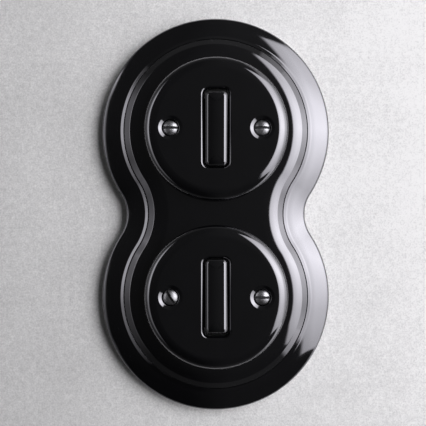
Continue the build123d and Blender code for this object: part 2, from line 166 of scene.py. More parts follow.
# Metal finishes: roughness, depth of the lines, lines to the metre and shade of the tarnish
METALS = {
    "nickel_plate": (0.36, 0.12, 1600.0, 0.72),
    "nickel_slot": (0.55, 0.20, 1600.0, 0.70),
    "brass_screw": (0.28, 0.15, 1600.0, 0.70),
    "brass_slot": (0.55, 0.20, 1600.0, 0.70),
    "brass_strip": (0.30, 0.22, 800.0, 0.72),
    "brass_seesaw": (0.27, 0.22, 800.0, 0.76),
    "zinc_plate": (0.34, 0.20, 700.0, 0.74),
    "pin_steel": (0.24, 0.15, 1500.0, 0.80),
    "spring_bronze": (0.28, 0.20, 900.0, 0.75),
    "contact_silver": (0.30, 0.15, 1500.0, 0.60),
}

# Mineral and moulded finishes: roughness, depth of the grain, grains to the metre and shade of the specks
MINERALS = {
    "bare_porcelain": (0.75, 0.25, 1400.0, 0.72),
    "steatite_body": (0.55, 0.22, 1000.0, 0.66),
    "moulded_resin": (0.42, 0.12, 1100.0, 1.80),
}

# The wall's plaster: the painted shade that makes it darker towards the left and downwards, across and up,
# and its mottles with the depth of each
PLASTER_GRAIN = {"Grain": 0.10, "Scale": 600.0}
PLASTER_ROUGHNESS = 0.9
PLASTER_PAINTED_SHADE_ACROSS = (-0.1, 0.1, 0.63, 1.0)
PLASTER_PAINTED_SHADE_UP = (-0.1, 0.0, 0.9, 1.0)
MOTTLES = (((34.0, 5.0, 0.7), 0.09), ((420.0, 3.0, 0.7), 0.13), ((1300.0, 2.0, 0.7), 0.20))
MOTTLE_RANGE = (0.25, 0.75)

# Which material of a piece its bare back or the inside of its slots takes, where the first is its front
BARE = 1
SLOT = 1

# Where a Mix node keeps the two colours that it blends, and the blended one
MIX_FIRST = 6
MIX_SECOND = 7
MIX_RESULT = 2

# Edges that turn by more than this stay sharp, and points nearer than this are one point
CREASE = math.radians(32)
TOUCH = 1e-6


def node_height(node):
    """The greatest height of a CAD node above the wall."""
    return -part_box(node)[0].y


def node_base(node):
    """The least height of a CAD node above the wall."""
    return -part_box(node)[1].y


def node_size(node, axis):
    """The size of a CAD node along one axis."""
    low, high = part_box(node)
    return high[axis] - low[axis]


def gang_centre(gang):
    """The height up the wall of one gang's middle."""
    low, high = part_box(f"{gang}_cover")
    return (low.z + high.z) / 2


def length(name, description, default):
    """A length property in metres."""
    return FloatProperty(name=name, description=description, default=default, unit="LENGTH", precision=5)


def angle(name, description, degrees):
    """An angle property, with its default in degrees."""
    return FloatProperty(name=name, description=description, default=math.radians(degrees), unit="ROTATION")


def share(name, description, default):
    """A plain number property without a unit."""
    return FloatProperty(name=name, description=description, default=default, precision=4)


def colour(name, description, default):
    """A linear colour property."""
    return FloatVectorProperty(name=name, description=description, default=default, subtype="COLOR", size=4)


class SwitchFrameForm(PropertyGroup):
    """The moulded section of the surround frame."""

    waist_radius: length("Waist radius", "Radius of the hollow at each side between the lobes", 0.016)
    rim_height: length("Rim height", "Height of the outer wall before its rounding", 0.00505)
    rim_round: length("Rim round", "Rounding at the top of the outer wall", 0.0014)
    band_width: length("Band width", "Width of the sloped outer band", 0.0081)
    band_outer_slope: angle("Outer slope", "Slope of the band at its outer edge", 21.0)
    band_inner_slope: angle("Inner slope", "Slope of the band at its inner edge", 10.5)
    band_round: length("Band round", "Rounding across the swelling band", 0.033)
    cove_width: length("Cove width", "Width of the hollow's upper half, up to the groove", 0.0014)
    cove_slope: angle("Cove slope", "Slope of the hollow at the groove", 26.0)
    cove_round: length("Cove", "Hollow rounding between the band and the groove", 0.0030)
    groove_width: length("Groove width", "Width of the fine groove at the riser's foot", 0.0005)
    groove_depth: length("Groove depth", "Depth of the fine groove below the cove", 0.0004)
    groove_rise: length("Groove rise", "Height of the groove's inner side above the cove", 0.0006)
    groove_round: length("Groove round", "Rounding of the groove's edges", 0.00008)
    riser_width: length("Riser width", "Width of the steep riser", 0.0023)
    riser_slope: angle("Riser slope", "Slope of the steep riser", 31.0)
    riser_round: length("Riser round", "Rounding at the top of the riser", 0.0012)
    ovolo_width: length("Ovolo width", "Width of the last slope up to the plateau", 0.0036)
    ovolo_round: length("Ovolo round", "Rounding where the last slope meets the plateau", 0.021)
    bore_radius: length("Bore radius", "Radius of the round opening behind each cover", 0.027)
    hollow_inset: length("Hollow inset", "Distance from the outer edge to the hollow at the back", 0.01225)
    hollow_roof: length("Hollow roof", "Thickness of the plateau over the hollow", 0.0045)
    edge_round: length("Edge round", "Small rounding of the edges at the back", 0.0004)
    lip: length("Lip", "Flat margin kept beside each rounding", 0.0012)


class SwitchCoverForm(PropertyGroup):
    """The round covers with their slot and screw recesses."""

    shoulder_width: length("Shoulder width", "Width of the rounding at the outer edge", 0.0054)
    shoulder_depth: length("Shoulder depth", "Depth of the rounding at the outer edge", 0.0030)
    foot_round: length("Foot round", "Small rounding where the cover meets the frame", 0.0004)
    roof: length("Roof", "Thickness of the cover over its well", 0.0035)
    slot_width: length("Slot width", "Width of the rocker's slot", 0.0104)
    slot_length: length("Slot length", "Length of the rocker's slot", 0.0326)
    slot_corner: length("Slot corner", "Corner radius of the slot", 0.0022)
    slot_lip: length("Slot lip", "Rounding round the top of the slot", 0.0014)
    well_width: length("Well width", "Width of the well under the slot", 0.0174)
    well_length: length("Well length", "Length of the well under the slot", 0.0354)
    well_corner: length("Well corner", "Corner radius of the well", 0.0020)
    screw_reach: length("Screw reach", "Distance of each screw from the middle", 0.01925)
    recess_radius: length("Recess radius", "Radius of a screw's recess", 0.0036)
    recess_depth: length("Recess depth", "Depth of a screw's recess", 0.0022)
    dish_width: length("Dish width", "Width of the dished mouth round a recess", 0.0015)
    dish_slope: angle("Dish slope", "Slope of the dished mouth", 18.0)
    dish_round: length("Dish round", "Rounding at the outer edge of the dish", 0.0008)
    shank_radius: length("Shank hole", "Radius of the hole for a screw's shank", 0.0020)
    lip: length("Lip", "Flat margin kept beside each rounding", 0.0003)


class SwitchRockerForm(PropertyGroup):
    """The crowned rocker keys."""

    width: length("Width", "Width of the key", 0.0093)
    length: length("Length", "Length of the key", 0.0310)
    corner: length("Corner", "Corner radius of the key's outline", 0.0018)
    edge: length("Edge", "Rounding of the key's top edges", 0.0016)
    end_stretch: share("End stretch", "How much longer the rounding is at the key's ends", 2.0)
    crown: length("Crown", "Radius of the crown across the key", 0.030)
    top: length("Top", "Distance from the pivot to the key's top", 0.01104)
    seat: length("Seat", "Distance from the pivot to the key's underside", 0.0034)
    pivot: length("Pivot", "Height of the pivot above the wall", 0.009)
    tilt: angle("Tilt", "Tilt of a key at rest", 3.5)


class SwitchScrewForm(PropertyGroup):
    """The slotted screws at the front and on the terminals."""

    head_radius: length("Head radius", "Radius of a cover screw's head", 0.0033)
    head_height: length("Head height", "Height of a cover screw's head", 0.0025)
    side_height: length("Side height", "Height of the head's straight side", 0.0008)
    shank_radius: length("Shank radius", "Radius of a cover screw's shank", 0.0017)
    slot_width: length("Slot width", "Width of the driver's slot", 0.0011)
    slot_depth: length("Slot depth", "Depth of the driver's slot", 0.0015)
    edge: length("Edge", "Softening of a terminal screw's edge", 0.0002)
    terminal_radius: length("Terminal head", "Radius of a terminal screw's head", 0.0025)
    terminal_height: length("Terminal height", "Height of a terminal screw's head", 0.0018)
    terminal_shank: length("Terminal shank", "Radius of a terminal screw's shank", 0.0013)
    terminal_length: length("Terminal length", "Length of a terminal screw's shank", 0.0040)
    throw_reach: length("Throw reach", "Distance of a throw terminal's screw from the middle", 0.01775)
    common_reach: length("Common reach", "Distance of the common terminal's screw from the middle", 0.01225)


class SwitchFinish(PropertyGroup):
    """Colours and surface values of the materials."""

    glaze: colour("Glaze", "Colour of the black glaze", (0.0014, 0.0014, 0.0018, 1))
    glaze_index: share("Glaze index", "Refractive index of the glaze", 2.08)
    glaze_sheen: colour("Glaze sheen", "Tint of the glaze's reflection", (0.965, 0.96, 1.0, 1))
    glaze_roughness: share("Glaze roughness", "Roughness of the glaze", 0.06)
    glaze_wave: share("Glaze wave", "Strength of the slow waves in the glaze", 0.35)
    bisque: colour("Bisque", "Colour of the unglazed porcelain at the back", (0.62, 0.58, 0.52, 1))
    nickel: colour("Nickel", "Colour of the plated screws", (0.36, 0.36, 0.37, 1))
    zinc: colour("Zinc", "Colour of the plated support plates", (0.56, 0.58, 0.60, 1))
    steel: colour("Steel", "Colour of the pins", (0.45, 0.45, 0.46, 1))
    resin: colour("Resin", "Colour of the moulded carriers", (0.016, 0.013, 0.011, 1))
    bronze: colour("Bronze", "Colour of the drive springs", (0.70, 0.42, 0.20, 1))
    steatite: colour("Steatite", "Colour of the switch bases", (0.74, 0.71, 0.64, 1))
    brass: colour("Brass", "Colour of the terminals and the seesaws", (0.78, 0.58, 0.26, 1))
    silver: colour("Silver", "Colour of the contact pads", (0.86, 0.85, 0.82, 1))
    plaster: colour("Plaster", "Colour of the wall at its lightest", (0.945, 0.945, 0.925, 1))


class SwitchStageForm(PropertyGroup):
    """Camera, lamps and wall."""

    camera_distance: length("Camera distance", "Distance of the camera from the wall", 0.385)
    camera_x: length("Camera X", "Place of the camera across the wall", -0.011)
    camera_z: length("Camera Z", "Place of the camera up the wall", -0.019)
    picture_width: length("Picture width", "Width of wall that the picture takes in", 0.1866)
    shift_x: share("Shift X", "Sideways shift of the picture", 0.0538)
    shift_y: share("Shift Y", "Upward shift of the picture", 0.1057)
    wall_size: length("Wall size", "Size of the wall", 6.0)
    wall_gap: length("Wall gap", "Gap between the wall and the frame's back", 0.00005)
    wall_opening: length("Wall opening", "Distance from the frame's edge to the opening in the wall", 0.0004)
    key_radiance: share("Key level", "Radiance of the large panel at the right", 7.3)
    side_radiance: share("Side level", "Radiance of the weak panel at the left", 2.5)
    rear_radiance: share("Rear lamp", "Radiance of the lamp behind the wall", 2.0)
    rear_level: share("Rear level", "Level of the soft light behind the wall", 0.5)
    room_left: share("Room left", "Level of the dim room in front to the left", 0.011)
    room_right: share("Room right", "Level of the dim room in front to the right", 0.038)
    room_rise: share("Room rise", "Gain of the room's level from low to high", 0.03)
    room_edge: share("Room edge", "Gain of the room's level towards the wall's plane", 0.07)
    backdrop_level: share("Backdrop level", "Level of the backdrop that the camera sees past the wall", 0.7)


def rounded_section(corners):
    """Points and normals along a section whose inner corners are rounded, with the open side on its left."""
    points = [Vector(corner[:2]) for corner in corners]
    first = (points[1] - points[0]).normalized()
    samples = [(points[0], Vector((-first.y, first.x)))]
    for index in range(1, len(corners) - 1):
        corner = points[index]
        radius = corners[index][2]
        coming = (corner - points[index - 1]).normalized()
        going = (points[index + 1] - corner).normalized()
        turn = coming.angle(going)
        side = math.copysign(1, coming.x * going.y - coming.y * going.x)
        normal = Vector((-coming.y, coming.x))
        start = corner - coming * radius * math.tan(turn / 2)
        pole = start + normal * side * radius
        steps = max(2, math.ceil(turn / ARC_STEP))
        for step in range(steps + 1):
            swing = Matrix.Rotation(side * turn * step / steps, 2)
            samples.append((pole + swing @ (start - pole), swing @ normal))
    last = (points[-1] - points[-2]).normalized()
    samples.append((points[-1], Vector((-last.y, last.x))))
    return samples


def quarter_turns(steps):
    """Angles over a quarter turn in equal steps."""
    return [math.pi / 2 * step / steps for step in range(steps + 1)]


def strip(first, second):
    """The corners of each face between two closed rings of equal count."""
    return zip(first, first[1:] + first[:1], second[1:] + second[:1], second)


def shoulder_section(radius, top, width, depth):
    """Points and normals over a shoulder that rounds off from a flat top to an upright side."""
    samples = []
    for turn in quarter_turns(2 * QUARTER_COUNT):
        place = Vector((radius - width * (1 - math.sin(turn)), top - depth * (1 - math.cos(turn))))
        samples.append((place, Vector((math.sin(turn) / width, math.cos(turn) / depth)).normalized()))
    return samples


def arc_stations(pole, radius, side, start, end, count):
    """Stations along an arc: pole, spoke, radius, and the way in which the section runs along the spoke."""
    stations = []
    for step in range(count):
        turn = start + (end - start) * step / count
        stations.append((Vector(pole), Vector((math.cos(turn), math.sin(turn))), radius, side))
    return stations


def circle(pole):
    """Stations round a whole circle, whose section is given by its radius."""
    return arc_stations(pole, 0, 1, 0, math.tau, CIRCLE_COUNT)


def rounded_rectangle(pole, width, height, corner):
    """Stations round a rectangle with rounded corners, whose section is given by the distance outside it."""
    stations = []
    reach = Vector((width / 2 - corner, height / 2 - corner))
    signs = ((1, 1), (-1, 1), (-1, -1), (1, -1))
    for quarter, (across, up) in enumerate(signs):
        corner_pole = Vector(pole) + Vector((across * reach.x, up * reach.y))
        for step in range(CORNER_COUNT + 1):
            turn = (quarter + step / CORNER_COUNT) * math.pi / 2
            stations.append((corner_pole, Vector((math.cos(turn), math.sin(turn))), corner, 1))
    return stations


def figure_eight(lobe_radius, waist_radius, offset):
    """Stations round the frame's outline, whose section is given by the distance inside it."""
    waist_reach = math.sqrt((lobe_radius + waist_radius) ** 2 - offset**2)
    waist = math.atan2(offset, waist_reach)
    lobe_count = math.ceil((math.pi + 2 * waist) / LOBE_STEP)
    waist_count = math.ceil(2 * waist / LOBE_STEP)
    stations = arc_stations((0, offset), lobe_radius, -1, -waist, math.pi + waist, lobe_count)
    stations += arc_stations((-waist_reach, 0), waist_radius, 1, waist, -waist, waist_count)
    stations += arc_stations((0, -offset), lobe_radius, -1, math.pi - waist, math.tau + waist, lobe_count)
    stations += arc_stations((waist_reach, 0), waist_radius, 1, math.pi + waist, math.pi - waist, waist_count)
    return stations


class Skin:
    """A mesh laid out in rings, shaded by the exact normals that come with its points."""

    def __init__(self):
        self.mesh = bmesh.new()
        self.normals = []

    def point(self, place, normal):
        """Add one point with its normal."""
        self.normals.append(normal.normalized())
        return self.mesh.verts.new(place)

    def face(self, corners, finish=0):
        """Add one smooth face."""
        made = self.mesh.faces.new(corners)
        made.smooth = True
        made.material_index = finish

    def bridge(self, first, second, finish=0):
        """Join two closed rings of equal count with a strip of faces."""
        for corners in strip(first, second):
            self.face(corners, finish)

    def sweep(self, stations, section, finish=0):
        """Carry a section round closed stations, and return its first and last ring."""
        rings = []
        for place, normal in section:
            ring = []
            for pole, spoke, radius, side in stations:
                flat = pole + spoke * (radius + side * place.x)
                across = spoke * side * normal.x
                point = Vector((flat.x, 0, flat.y)) + OUT * place.y
                ring.append(self.point(point, Vector((across.x, 0, across.y)) + OUT * normal.y))
            rings.append(ring)
        for first, second in zip(rings, rings[1:]):
            self.bridge(first, second, finish)
        return rings[0], rings[-1]

    def fill(self, rings, finish=0):
        """Fill the flat face inside the first ring and outside the others."""
        edges = []
        for ring in rings:
            for index, corner in enumerate(ring):
                ends = (ring[index - 1], corner)
                edges.append(self.mesh.edges.get(ends) or self.mesh.edges.new(ends))
        filled = bmesh.ops.triangle_fill(self.mesh, edges=edges, use_beauty=True, normal=OUT)
        for item in filled["geom"]:
            if isinstance(item, bmesh.types.BMFace):
                item.smooth = True
                item.material_index = finish

    def finish(self, name, materials):
        """Make the object, with each face turned to the side that its normals point to."""
        self.mesh.verts.index_update()
        for made in self.mesh.faces:
            made.normal_update()
            lean = sum((self.normals[corner.index] for corner in made.verts), Vector((0, 0, 0)))
            if made.normal.dot(lean) < 0:
                made.normal_flip()
        mesh = bpy.data.meshes.new(name)
        self.mesh.to_mesh(mesh)
        self.mesh.free()
        mesh.normals_split_custom_set_from_vertices(self.normals)
        return place_mesh(mesh, materials)


def place_mesh(mesh, materials):
    """Link a mesh into the scene as an object with its materials."""
    for material in materials:
        mesh.materials.append(material)
    made = bpy.data.objects.new(mesh.name, mesh)
    bpy.context.scene.collection.objects.link(made)
    return made


def add(tree, kind, sockets=None, **settings):
    """Add a node with its settings, and set or link its input sockets."""
    made = tree.nodes.new(kind)
    for name, value in settings.items():
        setattr(made, name, value)
    for name, value in (sockets or {}).items():
        if isinstance(value, bpy.types.NodeSocket):
            tree.links.new(value, made.inputs[name])
        else:
            made.inputs[name].default_value = value
    return made


def new_group(name, inputs, outputs):
    """Start a shader node group with value inputs and the outputs named."""
    tree = bpy.data.node_groups.new(name, "ShaderNodeTree")
    for label, default in inputs.items():
        made = tree.interface.new_socket(label, in_out="INPUT", socket_type="NodeSocketFloat")
        made.default_value = default
    for label in outputs:
        kind = "NodeSocketVector" if label == "Normal" else "NodeSocketFloat"
        tree.interface.new_socket(label, in_out="OUTPUT", socket_type=kind)
    return tree, add(tree, "NodeGroupInput").outputs


def place_group(tree, maker, values):
    """Place a node group that is made once and then shared, with a material's own values."""
    group = bpy.data.node_groups.get(maker.__name__) or maker()
    return add(tree, "ShaderNodeGroup", values, node_tree=group).outputs


def noise(tree, place, scale, detail, roughness):
    """A noise texture's value, centred on a half."""
    sockets = {"Vector": place, "Scale": scale, "Detail": detail, "Roughness": roughness}
    return add(tree, "ShaderNodeTexNoise", sockets).outputs[0]


def ramp(tree, value, low, high, start, end):
    """A value moved from one range to another and kept inside it."""
    sockets = {"Value": value, "From Min": low, "From Max": high, "To Min": start, "To Max": end}
    return add(tree, "ShaderNodeMapRange", sockets, clamp=True).outputs[0]


def arithmetic(tree, operation, first, second):
    """One sum of two values."""
    return add(tree, "ShaderNodeMath", {0: first, 1: second}, operation=operation).outputs[0]


def product(tree, *values):
    """Several values multiplied together."""
    total = values[0]
    for value in values[1:]:
        total = arithmetic(tree, "MULTIPLY", total, value)
    return total


def bump(tree, strength, distance, height):
    """A normal that follows the height of a pattern."""
    sockets = {"Strength": strength, "Distance": distance, "Height": height}
    return add(tree, "ShaderNodeBump", sockets).outputs[0]


def blend_colour(tree, share_value, first, second):
    """A colour between two others."""
    sockets = {0: share_value, MIX_FIRST: first, MIX_SECOND: second}
    return add(tree, "ShaderNodeMix", sockets, data_type="RGBA").outputs[MIX_RESULT]


def shade(colour_value, factor):
    """A colour made lighter or darker."""
    return (*[channel * factor for channel in colour_value[:3]], 1.0)


def object_place(tree):
    """The place of a point in its own object."""
    return add(tree, "ShaderNodeTexCoord").outputs["Object"]


def glaze_surface():
    """Slow waves, a fine skin and rare pinholes of a fired glaze, as a normal, a roughness and a mask."""
    inputs = {"Wave": 0.3, "Roughness": 0.06}
    tree, given = new_group("glaze_surface", inputs, ("Normal", "Roughness", "Cloud"))
    place = object_place(tree)
    skin = product(tree, noise(tree, place, *GLAZE_SKIN), SKIN_SHARE)
    height = arithmetic(tree, "ADD", noise(tree, place, *GLAZE_WAVE), skin)
    cells = add(tree, "ShaderNodeTexVoronoi", {"Vector": place, "Scale": PIT_SCALE}).outputs["Distance"]
    rare = ramp(tree, noise(tree, place, *PIT_PATCH), *PIT_RARITY)
    pits = product(tree, ramp(tree, cells, *PIT_DEPTH), rare)
    pitted = arithmetic(tree, "ADD", height, pits)
    cloud = noise(tree, place, *GLAZE_CLOUD)
    results = {
        "Normal": bump(tree, given["Wave"], SMOOTH_BUMP, pitted),
        "Roughness": product(tree, given["Roughness"], ramp(tree, cloud, *GLAZE_SPREAD)),
        "Cloud": cloud,
    }
    add(tree, "NodeGroupOutput", results)
    return tree


def metal_surface():
    """Fine rolling lines, handling marks and tarnish of sheet metal, as a normal, a roughness and a mask."""
    inputs = {"Roughness": 0.3, "Lines": 0.3, "Line scale": 900.0}
    tree, given = new_group("metal_surface", inputs, ("Normal", "Roughness", "Tarnish"))
    place = object_place(tree)
    stretched = add(tree, "ShaderNodeMapping", {"Vector": place, "Scale": LINE_STRETCH}).outputs[0]
    lines = noise(tree, stretched, given["Line scale"], *LINE_DETAIL)
    marks = noise(tree, place, *METAL_MARKS)
    height = arithmetic(tree, "ADD", lines, product(tree, marks, MARK_SHARE))
    results = {
        "Normal": bump(tree, given["Lines"], SMOOTH_BUMP, height),
        "Roughness": product(tree, given["Roughness"], ramp(tree, marks, *METAL_SPREAD)),
        "Tarnish": ramp(tree, noise(tree, place, *METAL_STAINS), *STAIN_EDGE),
    }
    add(tree, "NodeGroupOutput", results)
    return tree


def grain_surface():
    """The speckle and fine tooth of a dry mineral or moulded face, as a normal and two masks."""
    inputs = {"Grain": 0.3, "Scale": 900.0}
    tree, given = new_group("grain_surface", inputs, ("Normal", "Cloud", "Speck"))
    place = object_place(tree)
    fine = noise(tree, place, given["Scale"], *GRAIN_DETAIL)
    clouds = noise(tree, place, product(tree, given["Scale"], CLOUD_SHARE), *CLOUD_DETAIL)
    specks = noise(tree, place, given["Scale"], *SPECK_DETAIL)
    results = {
        "Normal": bump(tree, given["Grain"], GRAIN_BUMP, fine),
        "Cloud": ramp(tree, clouds, *CLOUD_EDGE),
        "Speck": ramp(tree, specks, *SPECK_EDGE),
    }
    add(tree, "NodeGroupOutput", results)
    return tree


def panel_bearing():
    """Bearing and height of a stage point as seen from the switch, in degrees."""
    tree, _ = new_group("panel_bearing", {}, ("Bearing", "Height"))
    place = add(tree, "ShaderNodeNewGeometry").outputs["Position"]
    parts = add(tree, "ShaderNodeSeparateXYZ", {0: place}).outputs
    ahead = product(tree, parts["Y"], -1.0)
    level = add(tree, "ShaderNodeVectorMath", {0: place, 1: (1, 1, 0)}, operation="MULTIPLY").outputs[0]
    away = add(tree, "ShaderNodeVectorMath", {0: level}, operation="LENGTH").outputs["Value"]
    turns = {
        "Bearing": arithmetic(tree, "ARCTAN2", parts["X"], ahead),
        "Height": arithmetic(tree, "ARCTAN2", parts["Z"], away),
    }
    results = {}
    for label, turn in turns.items():
        results[label] = add(tree, "ShaderNodeMath", {0: turn}, operation="DEGREES").outputs[0]
    add(tree, "NodeGroupOutput", results)
    return tree


def profile(tree, value, stops):
    """A level that follows straight runs between stops of value and level."""
    low = stops[0][0]
    high = stops[-1][0]
    place = ramp(tree, value, low, high, 0.0, 1.0)
    curve = add(tree, "ShaderNodeValToRGB", {0: place})
    elements = curve.color_ramp.elements
    for _ in stops[2:]:
        elements.new(0.5)
    for element, (at, level) in zip(elements, stops):
        element.position = (at - low) / (high - low)
        element.color = (level, level, level, 1)
    return curve.outputs[0]


def start_material(name):
    """An empty node material, and its node tree."""
    material = bpy.data.materials.new(name)
    material.use_nodes = True
    material.node_tree.nodes.clear()
    return material, material.node_tree


def close_material(material, shader):
    """Link the finished shader to the material's output."""
    add(material.node_tree, "ShaderNodeOutputMaterial", {"Surface": shader})
    return material


def principled(tree, sockets):
    """A Principled shader with its sockets set or linked."""
    return add(tree, "ShaderNodeBsdfPrincipled", sockets).outputs[0]


def shared_material(maker, name, base):
    """A material that is made once and then shared."""
    return bpy.data.materials.get(name) or maker(name, base)


def panel_material(name, radiance, bearings, heights, skews, mirrored_only):
    """A glow that fades over a panel by bearing and height, with its edges skewed over some heights."""
    material, tree = start_material(name)
    seen = place_group(tree, panel_bearing, {})
    bearing = seen["Bearing"]
    height = seen["Height"]
    for skew in skews:
        bearing = arithmetic(tree, "SUBTRACT", bearing, ramp(tree, height, *skew))
    strength = product(tree, profile(tree, bearing, bearings), profile(tree, height, heights), radiance)
    if mirrored_only:
        mirrored = add(tree, "ShaderNodeLightPath").outputs["Is Glossy Ray"]
        strength = product(tree, strength, mirrored)
        material.cycles.emission_sampling = "NONE"
    glow = add(tree, "ShaderNodeEmission", {"Color": PANEL_COLOUR, "Strength": strength}).outputs[0]
    clear = add(tree, "ShaderNodeBsdfTransparent").outputs[0]
    return close_material(material, add(tree, "ShaderNodeAddShader", {0: glow, 1: clear}).outputs[0])


def glaze_material(name, base):
    """Black gloss glaze over porcelain."""
    finish = bpy.context.scene.switch_finish
    material, tree = start_material(name)
    values = {"Wave": finish.glaze_wave, "Roughness": finish.glaze_roughness}
    surface = place_group(tree, glaze_surface, values)
    thin, thick = [shade(base, factor) for factor in GLAZE_SHADES]
    sockets = {
        "Base Color": blend_colour(tree, surface["Cloud"], thin, thick),
        "Roughness": surface["Roughness"],
        "IOR": finish.glaze_index,
        "Specular Tint": finish.glaze_sheen,
        "Normal": surface["Normal"],
    }
    return close_material(material, principled(tree, sockets))


def mineral_material(name, base):
    """Unglazed porcelain, steatite or moulded resin: a cloudy, finely grained face with a few specks, and
    painted shade that turns it near black where it is seen in a reflection.
    """
    roughness, grain, scale, speck = MINERALS[name]
    material, tree = start_material(name)
    surface = place_group(tree, grain_surface, {"Grain": grain, "Scale": scale})
    thin, thick = [shade(base, factor) for factor in MINERAL_SHADES]
    cloudy = blend_colour(tree, surface["Cloud"], thin, thick)
    spotted = blend_colour(tree, surface["Speck"], cloudy, shade(base, speck))
    # Painted shade: seen in a reflection, the face turns near black, standing in for the shade round the
    # works behind the covers
    mirrored = add(tree, "ShaderNodeLightPath").outputs["Is Glossy Ray"]
    tint_with_painted_shade = blend_colour(tree, mirrored, spotted, shade(base, MIRRORED_PAINTED_SHADE))
    sockets = {"Base Color": tint_with_painted_shade, "Roughness": roughness, "Normal": surface["Normal"]}
    return close_material(material, principled(tree, sockets))


def metal_material(name, base):
    """Plated or bare metal with fine lines, handling marks and a little tarnish."""
    roughness, lines, scale, tarnish = METALS[name]
    material, tree = start_material(name)
    values = {"Roughness": roughness, "Lines": lines, "Line scale": scale}
    surface = place_group(tree, metal_surface, values)
    sockets = {
        "Base Color": blend_colour(tree, surface["Tarnish"], tuple(base), shade(base, tarnish)),
        "Metallic": 1.0,
        "Roughness": surface["Roughness"],
        "Normal": surface["Normal"],
    }
    return close_material(material, principled(tree, sockets))


def black_glaze():
    """The glaze on everything that shows."""
    return shared_material(glaze_material, "glazed_porcelain_black", bpy.context.scene.switch_finish.glaze)


def glaze_and_bisque():
    """The glaze, and the bare porcelain at the back of the frame and the covers."""
    finish = bpy.context.scene.switch_finish
    return black_glaze(), shared_material(mineral_material, "bare_porcelain", finish.bisque)


def screw_metals(plate, slot, base):
    """A screw's metal, and a dull metal for inside its driver's slot, darkened there as painted shade."""
    # Painted shade: the slot's metal is darkened to stand in for the shade inside the slot
    dark = shade(base, SLOT_PAINTED_SHADE)
    return shared_material(metal_material, plate, base), shared_material(metal_material, slot, dark)


def wall_material():
    """Pale plaster with painted shade towards the left and downwards, which shows only from the room's side.
    """
    finish = bpy.context.scene.switch_finish
    material, tree = start_material("wall_plaster")
    surface = place_group(tree, grain_surface, PLASTER_GRAIN)
    place = object_place(tree)
    parts = add(tree, "ShaderNodeSeparateXYZ", {0: place}).outputs
    # Painted shade: the plaster darkens towards the left and downwards for the light's fall-off; the mottles
    # are its own tone
    levels = [ramp(tree, parts["X"], *PLASTER_PAINTED_SHADE_ACROSS), ramp(tree, parts["Z"], *PLASTER_PAINTED_SHADE_UP)]
    for pattern, depth in MOTTLES:
        levels.append(ramp(tree, noise(tree, place, *pattern), *MOTTLE_RANGE, 1 - depth, 1 + depth))
    tint_with_painted_shade = blend_colour(tree, product(tree, *levels), (0, 0, 0, 1), tuple(finish.plaster))
    sockets = {"Base Color": tint_with_painted_shade, "Roughness": PLASTER_ROUGHNESS, "Normal": surface["Normal"]}
    plaster = principled(tree, sockets)
    clear = add(tree, "ShaderNodeBsdfTransparent").outputs[0]
    side = add(tree, "ShaderNodeNewGeometry").outputs["Backfacing"]
    sided = add(tree, "ShaderNodeMixShader", {0: side, 1: plaster, 2: clear}).outputs[0]
    return close_material(material, sided)


class SWITCH_OT_surround(Operator):
    """Build the moulded figure-eight frame in glazed porcelain"""

    bl_idname = "porcelain_switch.surround"
    bl_label = "Surround frame"

    def execute(self, context):
        form = context.scene.switch_frame_form
        plateau = node_height("surround_frame")
        offset = gang_centre("upper")
        lobe_radius = node_size("surround_frame", 0) / 2
        half_band = form.band_width / 2
        crest = form.rim_height + half_band * math.tan(form.band_outer_slope)
        foot = crest + half_band * math.tan(form.band_inner_slope)
        cove_in = form.band_width + form.cove_width
        cove_top = foot + form.cove_width * math.tan(form.cove_slope)
        groove_in = cove_in + form.groove_width
        groove_top = cove_top + form.groove_rise
        riser_in = groove_in + form.riser_width
        riser_top = groove_top + form.riser_width * math.tan(form.riser_slope)
        plateau_in = riser_in + form.ovolo_width
        ovolo_slope = math.atan2(plateau - riser_top, form.ovolo_width)
        flat_in = plateau_in + form.ovolo_round * math.tan(ovolo_slope / 2)
        ceiling = plateau - form.hollow_roof
        back = rounded_section([
            (form.hollow_inset + form.lip, ceiling),
            (form.hollow_inset, ceiling, form.edge_round),
            (form.hollow_inset, 0, form.edge_round),
            (form.lip, 0),
        ])
        front = rounded_section([
            (form.lip, 0),
            (0, 0, form.edge_round),
            (0, form.rim_height, form.rim_round),
            (half_band, crest, form.band_round),
            (form.band_width, foot, form.cove_round),
            (cove_in, cove_top, form.groove_round),
            (cove_in + form.groove_width / 2, cove_top - form.groove_depth, form.groove_round),
            (groove_in, groove_top, form.groove_round),
            (riser_in, riser_top, form.riser_round),
            (plateau_in, plateau, form.ovolo_round),
            (flat_in + form.edge_round, plateau),
        ])
        bore = rounded_section([
            (form.bore_radius + form.lip, ceiling),
            (form.bore_radius, ceiling, form.edge_round),
            (form.bore_radius, plateau, form.edge_round),
            (form.bore_radius + form.lip, plateau),
        ])
        skin = Skin()
        around = figure_eight(lobe_radius, form.waist_radius, offset)
        hollow_ring, _ = skin.sweep(around, back, BARE)
        _, plateau_ring = skin.sweep(around, front)
        bores = [skin.sweep(circle((0, gang_centre(gang))), bore, BARE) for gang in GANGS]
        skin.fill([plateau_ring] + [rings[1] for rings in bores])
        skin.fill([hollow_ring] + [rings[0] for rings in bores], BARE)
        made = skin.finish("surround_frame_glazed", glaze_and_bisque())
        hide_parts("surround_frame")
        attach(made, "housing")
        return {"FINISHED"}


